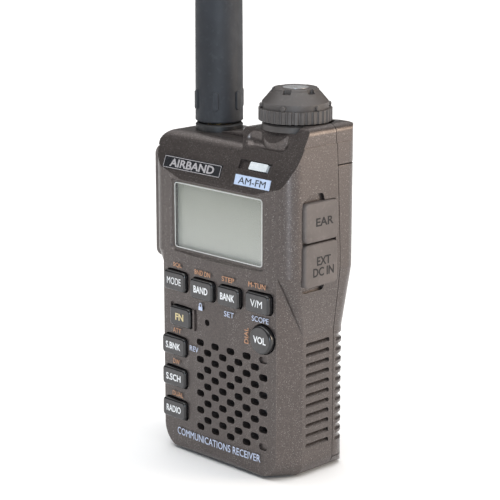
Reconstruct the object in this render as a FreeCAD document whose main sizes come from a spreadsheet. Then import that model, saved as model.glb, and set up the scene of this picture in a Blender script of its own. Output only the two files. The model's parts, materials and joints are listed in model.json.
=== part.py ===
import FreeCAD, Part
import math
import os
import Sketcher

# Handheld radio receiver: a moulded two-part case with a screw-on rubber antenna, a dial knob, nine front
# keys, two side keys, two jack covers, a battery door with its latch, and the modules inside.
#
# Frame: millimetres, +Z up, the front face looks along -Y and +X is to the right as seen from the front.
# The origin is the middle of the base.

doc = FreeCAD.newDocument("handheld_receiver")
sheet = doc.addObject("Spreadsheet::Sheet", "dims")

DIMENSIONS = {
    # outer case
    "case_top": 81.0, "half_depth": 11.5, "lower_half_width": 20.6, "upper_half_width": 22.5,
    "face_radius": 200.0, "face_half_width": 18.5, "bevel_back": -4.3, "shoulder_radius": 4.0,
    "lower_rear_radius": 5.0, "upper_rear_radius": 3.4, "flare_low": 33.5, "flare_high": 48.0,
    "chin_radius": 2.3, "base_corner": 3.5, "face_corner": 5.6, "rear_round": 3.0,
    "slope_corner": 67.36, "slope_radius": 20.0, "slope_angle": 30.0, "shelf_top": 76.0,
    "shelf_corner": 3.8, "shelf_round": 3.5, "seam_depth": 5.75, "seam_gap": 0.2,
    # hollow of the case
    "cavity_front": -9.3, "cavity_high_front": -6.6, "cavity_floor": 1.7, "chin_floor": 3.1,
    "cavity_ceiling": 73.6, "cavity_lower": 18.4, "cavity_display": 18.2,
    "cavity_upper": 20.7, "boss_radius": 1.7, "boss_end": 2.3,
    "boss_low_x": 16.3, "boss_low_z": 4.3, "boss_high_x": 18.6, "boss_high_z": 70.5,
    "screw_radius": 0.7, "screw_head": 1.4,
    # top of the case
    "stem_x": 12.2, "stem_y": 1.6, "pedestal_radius": 7.7, "pedestal_top": 79.2, "scoop_floor": 75.2,
    "scoop_right": 17.8, "scoop_back": -5.0, "ramp_front": -2.0, "ramp_start": -10.0, "ramp_knee": -1.0,
    "ramp_knee_top": 77.35, "tower_left": 2.4, "tower_left_top": 79.0, "crown": 76.7,
    "crown_inset": 0.25, "seat_radius": 8.75, "flange_seat": 5.8, "neck_hole": 3.2,
    # display
    "window_x": -0.45, "window_z": 57.15, "window_width": 28.6, "window_height": 15.5,
    "window_thick": 1.0, "window_back": -9.4, "bezel_width": 31.8, "bezel_height": 17.8,
    "bezel_depth": 1.0, "panel_width": 32.0, "panel_height": 20.0, "panel_back": -8.35,
    # nameplate, label and lamp on the sloping top of the face
    "plate_x": -8.95, "plate_z": 69.25, "plate_width": 18.9, "plate_height": 2.8, "plate_lean": 20.5,
    "label_x": 10.75, "label_z": 68.35, "label_width": 10.9, "label_height": 2.3, "label_lean": 16.5,
    "lamp_x": 11.1, "lamp_z": 71.65, "lamp_width": 5.4, "lamp_height": 1.8, "lamp_lean": 29.0,
    "lamp_left": 5.2, "lamp_right": 15.1,
    # keys
    "key_rise": 1.15, "key_gap": 0.22, "key_travel": 0.5, "key_base": -8.75, "key_flange": 0.4,
    "key_lip": 0.35, "volume_radius": 3.35, "volume_x": 14.65, "volume_z": 33.25, "vent_x": -2.94,
    "vent_z": 33.56, "vent_radius": 0.8,
    # speaker and its grille
    "grille_x": -5.35, "grille_z": 28.35, "grille_step": 2.509, "grille_row": 2.054,
    "slot_width": 2.5, "slot_height": 1.6, "speaker_x": 4.9, "speaker_z": 17.6,
    "speaker_radius": 10.5, "magnet_radius": 5.2,
    # side louvres and corner notches
    "louvre_top": 31.28, "louvre_pitch": 2.396, "louvre_front": -3.3, "louvre_back": 4.4,
    "louvre_height": 1.35, "louvre_depth": 0.8,
    # jacks and their covers on the right side
    "jack_y": -1.2, "ear_jack_z": 60.1, "supply_jack_z": 50.4, "ear_bore": 1.8, "supply_bore": 1.2,
    "supply_pin": 0.35, "jack_width": 6.0, "jack_inner": 12.6, "jack_outer": 20.6, "jack_hole": 2.2,
    "cover_front": -6.6, "cover_rear": 4.0, "cover_split": 55.45, "ear_top": 64.5,
    "supply_low": 45.5, "cover_face": 23.3, "cover_floor": 21.6, "cover_gap": 0.15, "plug_radius": 1.45,
    # key pad on the left side
    "pad_face": 23.2, "pad_front": -9.0, "pad_rear": 3.8, "pad_low": 45.4, "pad_high": 72.2,
    "side_key_width": 5.0, "side_key_height": 8.0, "side_key_rise": 0.5, "power_key_z": 65.2,
    "monitor_key_z": 54.8,
    # antenna
    "antenna_radius": 5.55, "antenna_foot": 78.05, "grip_top": 113.0, "whip_start": 119.0,
    "whip_radius": 3.7, "antenna_top": 178.0, "thread_radius": 3.0, "coupling_radius": 4.3,
    "flange_radius": 5.5, "flange_height": 1.7, "bar_count": 6,
    # dial knob
    "ring_radius": 8.25, "ring_inner": 6.6, "ring_low": 81.2, "ring_high": 83.9, "band_radius": 7.5,
    "dome_low": 85.1, "dome_top": 88.35, "dome_top_radius": 4.8, "badge_radius": 2.9,
    "knob_phase": 53.0,
    "badge_thick": 0.3, "collar_radius": 7.45, "collar_top": 80.75, "shaft_radius": 1.6,
    "shaft_low": 70.0, "shaft_top": 85.1, "bushing_radius": 2.9, "bushing_top": 80.9,
    "running_gap": 0.05, "teeth": 36, "tooth_radius": 0.42,
    # boards and modules
    "board_thick": 0.9, "board_back": -6.6, "radio_board_back": -0.7, "mat_back": -7.8,
    "mat_thick": 0.4, "plate_front": 2.4, "plate_back": 3.4, "battery_width": 32.6,
    "battery_thick": 5.9, "battery_height": 53.0, "battery_low": 6.2, "battery_y": 6.8,
    # battery door and its latch
    "door_low": 2.75, "door_high": 71.7, "hinge_y": 11.2, "door_inside": 10.3, "door_wall": 1.3,
    "spine_half_width": 16.5, "door_waist_back": 7.6, "door_head_back": 9.0, "throat_back": 7.0,
    "throat_height": 8.0, "cap_low": 71.9, "latch_length": 9.6, "latch_travel": 3.0,
    "latch_y": 9.0, "latch_width": 2.6, "latch_gap": 0.2,
}

for row, (alias, number) in enumerate(DIMENSIONS.items(), start=1):
    sheet.set("A%d" % row, alias)
    sheet.set("B%d" % row, str(number))
    sheet.setAlias("B%d" % row, alias)
doc.recompute()

# Front keys: left, right, low and high edge of each key's opening in the face.
KEY_OPENINGS = {
    "mode_key": (-17.2, -9.45, 39.1, 44.2),
    "band_key": (-7.8, 0.05, 38.75, 43.85),
    "bank_key": (1.2, 8.55, 38.8, 43.9),
    "memory_key": (9.8, 17.55, 39.0, 44.1),
    "function_key": (-15.1, -7.75, 30.75, 35.95),
    "bank_search_key": (-18.0, -9.75, 23.35, 28.35),
    "search_key": (-18.0, -9.75, 15.6, 20.6),
    "radio_key": (-18.0, -9.75, 7.75, 12.75),
}

NODES = []
FAR = 60.0
GRILLE_ROWS = 11
LOUVRES = 11


def dim(alias):
    """One driving dimension, read back from the sheet."""
    return float(sheet.get(alias))


def amount(size):
    """A size given as a number or as an expression on the sheet."""
    if isinstance(size, str):
        return float(sheet.evalExpression(size.replace("dims.", "")))
    return float(size)


def vec(x, y, z):
    return FreeCAD.Vector(x, y, z)


# ---------------------------------------------------------------- sketched bodies

def new_body(label):
    body = doc.addObject("PartDesign::Body", label)
    body.Label = label
    NODES.append(body)
    return body


def new_sketch(body, role):
    """A sketch attached to one of the body's own origin planes."""
    sketch = body.newObject("Sketcher::SketchObject", body.Name + "_sketch")
    plane = [item for item in body.Origin.OriginFeatures if item.Role == role][0]
    sketch.AttachmentSupport = [(plane, "")]
    sketch.MapMode = "FlatFace"
    return sketch


def constrain(sketch, kind, geometry, point, size):
    """Hold one coordinate of a sketch point, by the sheet if the size is an expression."""
    if not isinstance(size, str) and size == 0:
        axis = -2 if kind == "DistanceX" else -1
        sketch.addConstraint(Sketcher.Constraint("PointOnObject", geometry, point, axis))
        return
    index = sketch.addConstraint(Sketcher.Constraint(kind, -1, 1, geometry, point, amount(size)))
    if isinstance(size, str):
        sketch.setExpression("Constraints[%d]" % index, size)


def draw_polygon(sketch, points):
    """A closed polygon whose corners are (across, up) pairs of sizes."""
    first = sketch.GeometryCount
    corners = [vec(amount(across), amount(up), 0) for across, up in points]
    for start, end in zip(corners, corners[1:] + corners[:1]):
        sketch.addGeometry(Part.LineSegment(start, end), False)
    count = len(points)
    for step in range(count):
        following = first + (step + 1) % count
        sketch.addConstraint(Sketcher.Constraint("Coincident", first + step, 2, following, 1))
    for step, (across, up) in enumerate(points):
        constrain(sketch, "DistanceX", first + step, 1, across)
        constrain(sketch, "DistanceY", first + step, 1, up)


def draw_circle(sketch, radius, across=0, up=0):
    centre = vec(amount(across), amount(up), 0)
    circle = sketch.addGeometry(Part.Circle(centre, vec(0, 0, 1), amount(radius)), False)
    constrain(sketch, "DistanceX", circle, 3, across)
    constrain(sketch, "DistanceY", circle, 3, up)
    index = sketch.addConstraint(Sketcher.Constraint("Radius", circle, amount(radius)))
    if isinstance(radius, str):
        sketch.setExpression("Constraints[%d]" % index, radius)
    return circle


def bind(item, attribute, size):
    if isinstance(size, str):
        item.setExpression(attribute, size)
    else:
        item.setExpression(attribute, repr(float(size)))


def place(body, x=0, y=0, z=0, axis=None):
    """Put a body at a bound position, with its own Z turned to face -Y or +X if asked."""
    if axis == "front":
        body.Placement = FreeCAD.Placement(vec(0, 0, 0), FreeCAD.Rotation(vec(1, 0, 0), 90))
    if axis == "right":
        body.Placement = FreeCAD.Placement(vec(0, 0, 0), FreeCAD.Rotation(vec(0, 1, 0), 90))
    bind(body, "Placement.Base.x", x)
    bind(body, "Placement.Base.y", y)
    bind(body, "Placement.Base.z", z)


def pad(body, sketch, length):
    feature = body.newObject("PartDesign::Pad", body.Name + "_pad")
    feature.Profile = sketch
    bind(feature, "Length", length)
    doc.recompute()
    return feature


def round_edges(body, feature, radius, direction):
    """Fillet the straight edges of a pad that run along one direction."""
    names = []
    for number, edge in enumerate(feature.Shape.Edges, start=1):
        straight = edge.Curve.TypeId == "Part::GeomLine"
        if straight and abs(edge.tangentAt(edge.FirstParameter).dot(direction)) > 0.99:
            names.append("Edge%d" % number)
    fillet = body.newObject("PartDesign::Fillet", body.Name + "_fillet")
    fillet.Base = (feature, names)
    bind(fillet, "Radius", radius)
    doc.recompute()
    return fillet


def plate(label, points, thickness, back, corner=None):
    """A flat piece parallel to the front face, cut to an outline of (x, z) points."""
    body = new_body(label)
    sketch = new_sketch(body, "XZ_Plane")
    draw_polygon(sketch, points)
    feature = pad(body, sketch, thickness)
    if corner:
        round_edges(body, feature, corner, vec(0, 1, 0))
    place(body, y=back)
    return body


def rectangle(x, z, width, height):
    """Corner points of a rectangle round a centre, as expressions on the sheet."""
    left, right = "%s - (%s) / 2" % (x, width), "%s + (%s) / 2" % (x, width)
    low, high = "%s - (%s) / 2" % (z, height), "%s + (%s) / 2" % (z, height)
    return [(left, low), (right, low), (right, high), (left, high)]


def turned(label, profile, x=0, y=0, z=0, axis=None):
    """A piece turned about its own Z from a (radius, height) profile."""
    body = new_body(label)
    sketch = new_sketch(body, "XZ_Plane")
    draw_polygon(sketch, profile)
    feature = body.newObject("PartDesign::Revolution", label + "_turn")
    feature.Profile = sketch
    feature.ReferenceAxis = (sketch, ["V_Axis"])
    feature.Angle = 360
    place(body, x, y, z, axis)
    doc.recompute()
    return body


# ---------------------------------------------------------------- shapes for the mouldings

def box(x_range, y_range, z_range):
    size = [high - low for low, high in (x_range, y_range, z_range)]
    return Part.makeBox(size[0], size[1], size[2], vec(x_range[0], y_range[0], z_range[0]))


def rod(radius, start, direction, length):
    return Part.makeCylinder(radius, length, start, direction)


def rounded_wire(corners, to_space):
    """A closed wire from (across, up, corner radius) points, put into space by to_space."""
    count = len(corners)
    edges = []
    joints = []
    for step in range(count):
        here = vec(corners[step][0], corners[step][1], 0)
        before = vec(*corners[step - 1][:2], 0) - here
        after = vec(*corners[(step + 1) % count][:2], 0) - here
        radius = corners[step][2]
        before.normalize()
        after.normalize()
        if radius == 0:
            joints.append((here, None, here))
            continue
        half_angle = math.acos(max(-1.0, min(1.0, before.dot(after)))) / 2
        run = radius / math.tan(half_angle)
        inward = before + after
        inward.normalize()
        middle = here + inward * (radius / math.sin(half_angle) - radius)
        joints.append((here + before * run, middle, here + after * run))
    for step in range(count):
        start, middle, end = joints[step]
        if middle is not None:
            edges.append(Part.Arc(to_space(start), to_space(middle), to_space(end)).toShape())
        following = joints[(step + 1) % count][0]
        if end.distanceToPoint(following) > 1e-6:
            edges.append(Part.LineSegment(to_space(end), to_space(following)).toShape())
    return Part.Wire(edges)


def side_prism(corners, left=-FAR, right=FAR):
    """A (y, z) outline carried along X."""
    wire = rounded_wire(corners, lambda point: vec(left, point.x, point.y))
    return Part.Face(wire).extrude(vec(right - left, 0, 0))


def front_prism(corners, front=-FAR, back=FAR):
    """An (x, z) outline carried along Y."""
    wire = rounded_wire(corners, lambda point: vec(point.x, front, point.y))
    return Part.Face(wire).extrude(vec(0, back - front, 0))


def box_corners(left, right, low, high, radius=0.0):
    return [(left, low, radius), (right, low, radius), (right, high, radius), (left, high, radius)]


def moulding(label, shape):
    """Store a finished moulding as a document object of its own."""
    piece = doc.addObject("Part::Feature", label)
    piece.Label = label
    piece.Shape = shape
    NODES.append(piece)
    return piece


def face_depth(x):
    """Y of the gently bowed front face at one x."""
    return -dim("half_depth") + x * x / (2 * dim("face_radius"))


def plan_edges(height, upper):
    """Ten edges of the case's plan outline: the full-width one, or the waist with its bevelled front."""
    half = dim("upper_half_width") if upper else dim("lower_half_width")
    rear = dim("upper_rear_radius") if upper else dim("lower_rear_radius")
    back = dim("half_depth")
    split = 0.05
    edge_x = dim("face_half_width")

    def at(x, y):
        return vec(x, y, height)

    def line(start, end):
        return Part.LineSegment(at(*start), at(*end)).toShape()

    def bow(x_start, x_end):
        middle = (x_start + x_end) / 2
        points = [at(x, face_depth(x)) for x in (x_start, middle, x_end)]
        return Part.Arc(*points).toShape()

    def rear_arc(side):
        centre_x, centre_y = side * (half - rear), back - rear
        lean = rear * math.sqrt(0.5)
        outer = at(side * half, centre_y)
        middle = at(centre_x + side * lean, centre_y + lean)
        inner = at(centre_x, back)
        ends = (outer, middle, inner) if side > 0 else (inner, middle, outer)
        return Part.Arc(*ends).toShape()

    if upper:
        shoulder = dim("shoulder_radius")
        turn_y = face_depth(edge_x) + shoulder
        lean = shoulder * math.sqrt(0.5)
        right_turn = Part.Arc(at(edge_x, face_depth(edge_x)), at(edge_x + lean, turn_y - lean),
                              at(half, turn_y)).toShape()
        left_turn = Part.Arc(at(-half, turn_y), at(-edge_x - lean, turn_y - lean),
                             at(-edge_x, face_depth(edge_x))).toShape()
        left_bevel = bow(-edge_x, -edge_x + split)
        face = bow(-edge_x + split, edge_x - split)
        right_bevel = bow(edge_x - split, edge_x)
    else:
        bevel_y = dim("bevel_back")
        turn_y = bevel_y + split
        right_turn = line((half, bevel_y), (half, turn_y))
        left_turn = line((-half, turn_y), (-half, bevel_y))
        left_bevel = line((-half, bevel_y), (-edge_x, face_depth(edge_x)))
        face = bow(-edge_x, edge_x)
        right_bevel = line((edge_x, face_depth(edge_x)), (half, bevel_y))
    right_side = line((half, turn_y), (half, back - rear))
    back_line = line((half - rear, back), (-half + rear, back))
    left_side = line((-half, back - rear), (-half, turn_y))
    return [left_bevel, face, right_bevel, right_turn, right_side, rear_arc(1), back_line, rear_arc(-1),
            left_side, left_turn]


def full_width_block():
    """The wide upper half of the case and the flare that narrows it down to the waist."""
    high = Part.Wire(plan_edges(dim("flare_high"), True))
    low = Part.Wire(plan_edges(dim("flare_low"), False))
    flare = Part.makeLoft([low, high], True, True)
    rise = Part.Face(high).extrude(vec(0, 0, dim("case_top") + 3 - dim("flare_high")))
    return rise.fuse(flare)


def waist_block():
    """The narrow lower half: bevelled front edges that run round the rounded bottom corners."""
    back = dim("half_depth")
    bevel_back = dim("bevel_back")
    half = dim("lower_half_width")
    bevel_rate = (half - dim("face_half_width")) / (bevel_back - face_depth(dim("face_half_width")))
    face_half = half - bevel_rate * (bevel_back + back)
    top = dim("flare_high") + 10

    def outline(width, low, corner, depth):
        corners = [(-width, low, corner), (width, low, corner), (width, top, 0), (-width, top, 0)]
        return rounded_wire(corners, lambda point: vec(point.x, depth, point.y))

    front = Part.makeLoft([outline(face_half, 0.5, dim("face_corner"), -back),
                           outline(half, 0.0, dim("base_corner"), bevel_back)], True, True)
    rear = Part.Face(outline(half, 0.0, dim("base_corner"), bevel_back)).extrude(vec(0, back - bevel_back, 0))
    plan = Part.Face(Part.Wire(plan_edges(0.0, False)))
    # The plan outline is widened at the front so that only the bow and the rear corners cut.
    bow = box((-half, half), (-back, bevel_back), (-1, top + 1))
    barrel = rod(dim("face_radius"), vec(0, dim("face_radius") - back, -1), vec(0, 0, 1), top + 2)
    plan_prism = plan.extrude(vec(0, 0, top + 1)).fuse(bow.common(barrel))
    return front.fuse(rear).common(plan_prism)


def slope_profile(top, top_round):
    """Side outline of the case: chin, upright face, sloping brow, top and rounded back."""
    back = dim("half_depth")
    rear = dim("rear_round")
    brow_y = -back + (top - dim("slope_corner")) * math.tan(math.radians(dim("slope_angle")))
    return [(-back, 0.0, dim("chin_radius")), (-back, dim("slope_corner"), dim("slope_radius")),
            (brow_y, top, top_round), (back, top, rear), (back, 0.0, rear)]


def outer_case():
    """The closed outside shape of both case halves together."""
    half = dim("upper_half_width")
    back = dim("half_depth")
    shelf = dim("shelf_top")
    crown_half = half - dim("crown_inset")
    wide = full_width_block()
    shelf_outline = [(-half, -5.0, 0), (half, -5.0, 0), (half, shelf, 0), (-half, shelf, dim("shelf_corner"))]
    shell = wide.fuse(waist_block())
    shell = shell.common(front_prism(shelf_outline))
    shell = shell.common(side_prism(slope_profile(shelf, dim("shelf_round"))))

    tower_foot = shelf - 2
    tower_lean = dim("tower_left") + 2.3
    tower_outline = [(tower_lean, tower_foot, 0), (half, tower_foot, 0), (half, dim("crown"), 0),
                     (crown_half, dim("crown"), 0), (crown_half, dim("case_top"), 1.9),
                     (19.6, dim("case_top"), 0), (dim("tower_left"), dim("tower_left_top"), 0.6)]
    tower = wide.common(front_prism(tower_outline))
    tower = tower.common(side_prism(slope_profile(dim("case_top"), 1.5)))

    ramp_outline = [(dim("ramp_start"), tower_foot, 0), (tower_lean + 1, tower_foot, 0),
                    (tower_lean + 1, dim("tower_left_top"), 0), (dim("tower_left"), dim("tower_left_top"), 0),
                    (dim("ramp_knee"), dim("ramp_knee_top"), 0), (dim("ramp_start"), shelf, 0)]
    ramp = front_prism(ramp_outline, dim("ramp_front"), back - 1.2)
    return shell.fuse([tower, ramp])


def top_cuts():
    """Finger scoop, knob seat, antenna seat and the pockets of the encoder and the antenna jack."""
    knob = vec(dim("stem_x"), dim("stem_y"), 0)
    antenna = vec(-dim("stem_x"), dim("stem_y"), 0)
    up = vec(0, 0, 1)
    scoop_corners = [(dim("tower_left") + 1.9, dim("scoop_floor"), 2.2),
                     (dim("scoop_right"), dim("scoop_floor"), 2.2),
                     (dim("scoop_right") + 0.8, FAR + 40, 0), (dim("tower_left") + 0.9, FAR + 40, 0)]
    scoop_back = dim("scoop_back")
    scoop = front_prism(scoop_corners, -dim("half_depth") - 2, scoop_back)
    scoop = soften(scoop, 1.9, lambda edge: edge.BoundBox.YMin > scoop_back - 0.01
                   and edge.BoundBox.ZMin < dim("case_top"))
    pedestal = rod(dim("pedestal_radius"), knob + vec(0, 0, 60), up, 40)
    seat = rod(dim("seat_radius"), knob + vec(0, 0, dim("pedestal_top")), up, 10)
    flange = rod(dim("flange_seat"), antenna + vec(0, 0, dim("shelf_top")), up, 10)
    knob_hole = rod(dim("neck_hole"), knob + vec(0, 0, dim("cavity_ceiling") - 1), up, 10)
    antenna_hole = rod(dim("neck_hole"), antenna + vec(0, 0, dim("cavity_ceiling") - 1), up, 10)
    ceiling = dim("cavity_ceiling")
    encoder_pocket = box((7.2, 17.2), (-4.6, 6.7), (66.0, ceiling))
    jack_pocket = box((-16.6, -7.8), (-4.6, 6.0), (66.0, ceiling))
    return [scoop.cut(pedestal), seat, flange, knob_hole, antenna_hole, encoder_pocket, jack_pocket]


def seam_side(front, gap):
    """The space on one side of the parting line, which leans forward towards the top."""
    depth = dim("seam_depth")
    line = [(depth, -5.0), (depth, 40.0), (depth - 0.15, 52.0), (depth - 0.85, 66.0), (depth - 1.85, 84.0)]
    corners = [(y + gap, z, 0) for y, z in line]
    far = -FAR if front else FAR
    corners += [(far, 84.0, 0), (far, -5.0, 0)]
    return side_prism(corners)


def stadium(x, z, width, height, front, back):
    """A rounded slot cut straight through the face."""
    corner = height * 0.42
    corners = box_corners(x - width / 2, x + width / 2, z - height / 2, z + height / 2, corner)
    return front_prism(corners, front, back)


def grille_slots():
    """Eleven staggered rows of slots; the last slot of the first and last rows is only a dimple."""
    back = -dim("half_depth")
    slots = []
    for row_number in range(GRILLE_ROWS):
        columns = range(0, 9, 2) if row_number % 2 == 0 else range(1, 8, 2)
        for column in columns:
            x = dim("grille_x") + column * dim("grille_step")
            z = dim("grille_z") - row_number * dim("grille_row")
            dimple = column == 8 and row_number in (0, GRILLE_ROWS - 1)
            end = face_depth(x) + 0.5 if dimple else back + 4
            slots.append(stadium(x, z, dim("slot_width"), dim("slot_height"), back - 1, end))
    return slots


def louvres():
    """Wedge-shaped louvre grooves on both flanks, deepest along their upper edge."""
    half = dim("lower_half_width")
    reach = dim("louvre_height") / 2
    cuts = []
    for step in range(LOUVRES):
        z = dim("louvre_top") - step * dim("louvre_pitch")
        for side in (-1, 1):
            deep = side * (half - dim("louvre_depth"))
            skin = side * (half + 0.2)
            points = [vec(skin, 0, z + reach), vec(deep, 0, z + reach), vec(deep, 0, z + reach * 0.35),
                      vec(skin, 0, z - reach)]
            edge = Part.makePolygon(points + points[:1])
            edge.translate(vec(0, dim("louvre_front"), 0))
            wedge = Part.Face(edge).extrude(vec(0, dim("louvre_back") - dim("louvre_front"), 0))
            ends = rounded_wire(box_corners(dim("louvre_front"), dim("louvre_back"), z - reach, z + reach,
                                            reach * 0.9), lambda point: vec(-FAR, point.x, point.y))
            cuts.append(wedge.common(Part.Face(ends).extrude(vec(2 * FAR, 0, 0))))
    return cuts


def leaning_box(x, z, width, height, lean, sink, rise):
    """A box laid on the sloping brow: centre height z, sunk below and raised above the surface."""
    depth = brow_depth(z)
    shape = box((-width / 2, width / 2), (-rise, sink), (-height / 2, height / 2))
    turn = FreeCAD.Rotation(vec(1, 0, 0), -lean)
    shape.Placement = FreeCAD.Placement(vec(x, depth, z), turn)
    return shape


def brow_depth(z):
    """Y of the brow surface at one height, on the arc or on the straight slope above it."""
    angle = math.radians(dim("slope_angle"))
    radius = dim("slope_radius")
    start = dim("slope_corner") - radius * math.tan(angle / 2)
    end = start + radius * math.sin(angle)
    if z < end:
        return -dim("half_depth") + radius - math.sqrt(radius ** 2 - max(0.0, z - start) ** 2)
    return -dim("half_depth") + radius * (1 - math.cos(angle)) + (z - end) * math.tan(angle)


def bosses():
    """Screw posts that run from the front wall to the chassis plate."""
    posts = []
    for x, z in boss_places():
        start = dim("cavity_front") - 0.1 if z < dim("flare_low") else dim("cavity_high_front") - 0.4
        posts.append(rod(dim("boss_radius"), vec(x, start, z), vec(0, 1, 0), dim("boss_end") - start))
    return posts


def boss_places():
    low = [(side * dim("boss_low_x"), dim("boss_low_z")) for side in (-1, 1)]
    high = [(side * dim("boss_high_x"), dim("boss_high_z")) for side in (-1, 1)]
    return low + high


def case_hollow():
    """Room for the modules inside the front case."""
    ceiling = dim("cavity_ceiling")
    lower, upper = dim("cavity_lower"), dim("cavity_upper")
    front, high_front = dim("cavity_front"), dim("cavity_high_front")
    back = dim("seam_depth") + 1
    waist = box((-lower, lower), (front, back), (dim("chin_floor"), 50.0))
    foot = box((-lower, lower), (0, back), (dim("cavity_floor"), dim("chin_floor") + 1))
    middle = box((-upper, upper), (front + 2.4, back), (dim("flare_high") - 1.0, 68.0))
    display = box((-dim("cavity_display"), dim("cavity_display")), (front, back), (45.0, 68.0))
    head = box((-upper, upper), (high_front, back), (67.0, ceiling))
    return waist.fuse([foot, middle, display, head])


def key_cutters():
    cutters = []
    for left, right, low, high in KEY_OPENINGS.values():
        corners = box_corners(left, right, low, high, 1.1)
        cutters.append(front_prism(corners, -dim("half_depth") - 2, dim("cavity_front") + 0.1))
    around = rod(dim("volume_radius") + dim("key_gap"), vec(dim("volume_x"), -14, dim("volume_z")),
                 vec(0, 1, 0), 5)
    cutters.append(around)
    vent = rod(dim("vent_radius"), vec(dim("vent_x"), -14, dim("vent_z")), vec(0, 1, 0), 5)
    cutters.append(vent)
    return cutters


def bezel_cut():
    """Flared recess round the display with the window opening at its floor."""
    x, z = dim("window_x"), dim("window_z")
    floor = -dim("half_depth") + dim("bezel_depth")
    outer_half = (dim("bezel_width") / 2, dim("bezel_height") / 2)
    inner_half = (dim("window_width") / 2 + 0.75, dim("window_height") / 2 + 0.5)

    def ring(half, depth, radius):
        corners = box_corners(x - half[0], x + half[0], z - half[1], z + half[1], radius)
        return rounded_wire(corners, lambda point: vec(point.x, depth, point.y))

    flare = Part.makeLoft([ring(outer_half, -dim("half_depth") - 0.25, 1.6), ring(inner_half, floor, 1.2)],
                          True, True)
    opening = front_prism(box_corners(x - dim("window_width") / 2 - 0.1, x + dim("window_width") / 2 + 0.1,
                                      z - dim("window_height") / 2 - 0.1, z + dim("window_height") / 2 + 0.1,
                                      0.9), floor - 0.5, dim("cavity_front") + 0.5)
    return [flare, opening]


def cover_recess():
    """Shallow recess for both jack covers, with a nail notch above one and below the other."""
    gap = dim("cover_gap")
    floor = dim("cover_floor")
    front, rear = dim("cover_front") - gap, dim("cover_rear") + gap
    low, high = dim("supply_low") - gap, dim("ear_top") + gap
    recess = side_prism(box_corners(front, rear, low, high, 1.0), floor, FAR)
    upper_notch = side_prism([(front, high - 2.5, 0), (1.2, high - 2.5, 0), (-0.2, high + 1.7, 0.9),
                              (front + 1.8, high + 1.7, 1.2), (front, high, 0.8)], floor + 0.1, FAR)
    lower_notch = side_prism([(front, low + 2.5, 0), (1.2, low + 2.5, 0), (0.6, low - 1.3, 0.9),
                              (front + 0.6, low - 1.3, 0.9)], floor - 0.4, FAR)
    holes = [rod(dim("jack_hole"), vec(dim("cavity_upper") - 1, dim("jack_y"), z), vec(1, 0, 0), 4)
             for z in (dim("ear_jack_z"), dim("supply_jack_z"))]
    return [recess, upper_notch, lower_notch] + holes


def side_key_outline(z, grow):
    half_y, half_z = dim("side_key_width") / 2 + grow, dim("side_key_height") / 2 + grow
    middle = side_key_middle()
    return box_corners(middle - half_y, middle + half_y, z - half_z, z + half_z, max(0.3, 1.6 + grow))


def side_key_middle():
    return (dim("pad_front") + dim("pad_rear")) / 2 + 0.9


def pad_recess():
    gap = dim("cover_gap")
    corners = box_corners(dim("pad_front") - 1, dim("pad_rear") + gap, dim("pad_low") - gap,
                          dim("pad_high") + gap, 1.2)
    cuts = [side_prism(corners, -FAR, -dim("cover_floor"))]
    for z in (dim("power_key_z"), dim("monitor_key_z")):
        cuts.append(side_prism(side_key_outline(z, -1.0), -FAR, -dim("cavity_upper") + 1))
    return cuts


# ---------------------------------------------------------------- case halves

def guard_bars():
    """Two raised bars that guard the function key."""
    left, right, low, high = KEY_OPENINGS["function_key"]
    bars = []
    for x, shift in ((left - 0.55, 0.1), (right + 0.55, -0.2)):
        depth = face_depth(x)
        bar = box((x - 0.3, x + 0.3), (depth - 0.45, depth + 0.6), (low + 0.1 + shift, high + shift))
        edges = [edge for edge in bar.Edges if abs(edge.tangentAt(0).y) > 0.99]
        bars.append(bar.makeFillet(0.25, edges))
    return bars


def make_front_case(shell):
    shape = shell.common(seam_side(True, -dim("seam_gap") / 2))
    shape = shape.cut(case_hollow())
    shape = shape.fuse(bosses())
    shape = shape.fuse(guard_bars())
    cuts = grille_slots() + louvres() + key_cutters() + bezel_cut() + cover_recess() + pad_recess()
    cuts.append(leaning_box(dim("plate_x"), dim("plate_z"), dim("plate_width") + 0.2,
                            dim("plate_height") + 0.2, dim("plate_lean"), 0.45, 3.0))
    cuts.append(leaning_box(dim("label_x"), dim("label_z"), dim("label_width") + 0.1,
                            dim("label_height") + 0.1, dim("label_lean"), 0.2, 3.0))
    recess_x = (dim("lamp_left") + dim("lamp_right")) / 2
    cuts.append(leaning_box(recess_x, dim("lamp_z"), dim("lamp_right") - dim("lamp_left"),
                            dim("lamp_height") + 0.5, dim("lamp_lean"), 0.7, 3.0))
    cuts.append(leaning_box(dim("lamp_x"), dim("lamp_z"), dim("lamp_width") + 0.1,
                            dim("lamp_height") + 0.1, dim("lamp_lean"), 4.0, 3.0))
    for x, z in boss_places():
        cuts.append(rod(dim("screw_radius") + dim("running_gap"), vec(x, dim("boss_end") - 5.5, z),
                        vec(0, 1, 0), 8))
    moulding("front_case", shape.cut(cuts))


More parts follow.
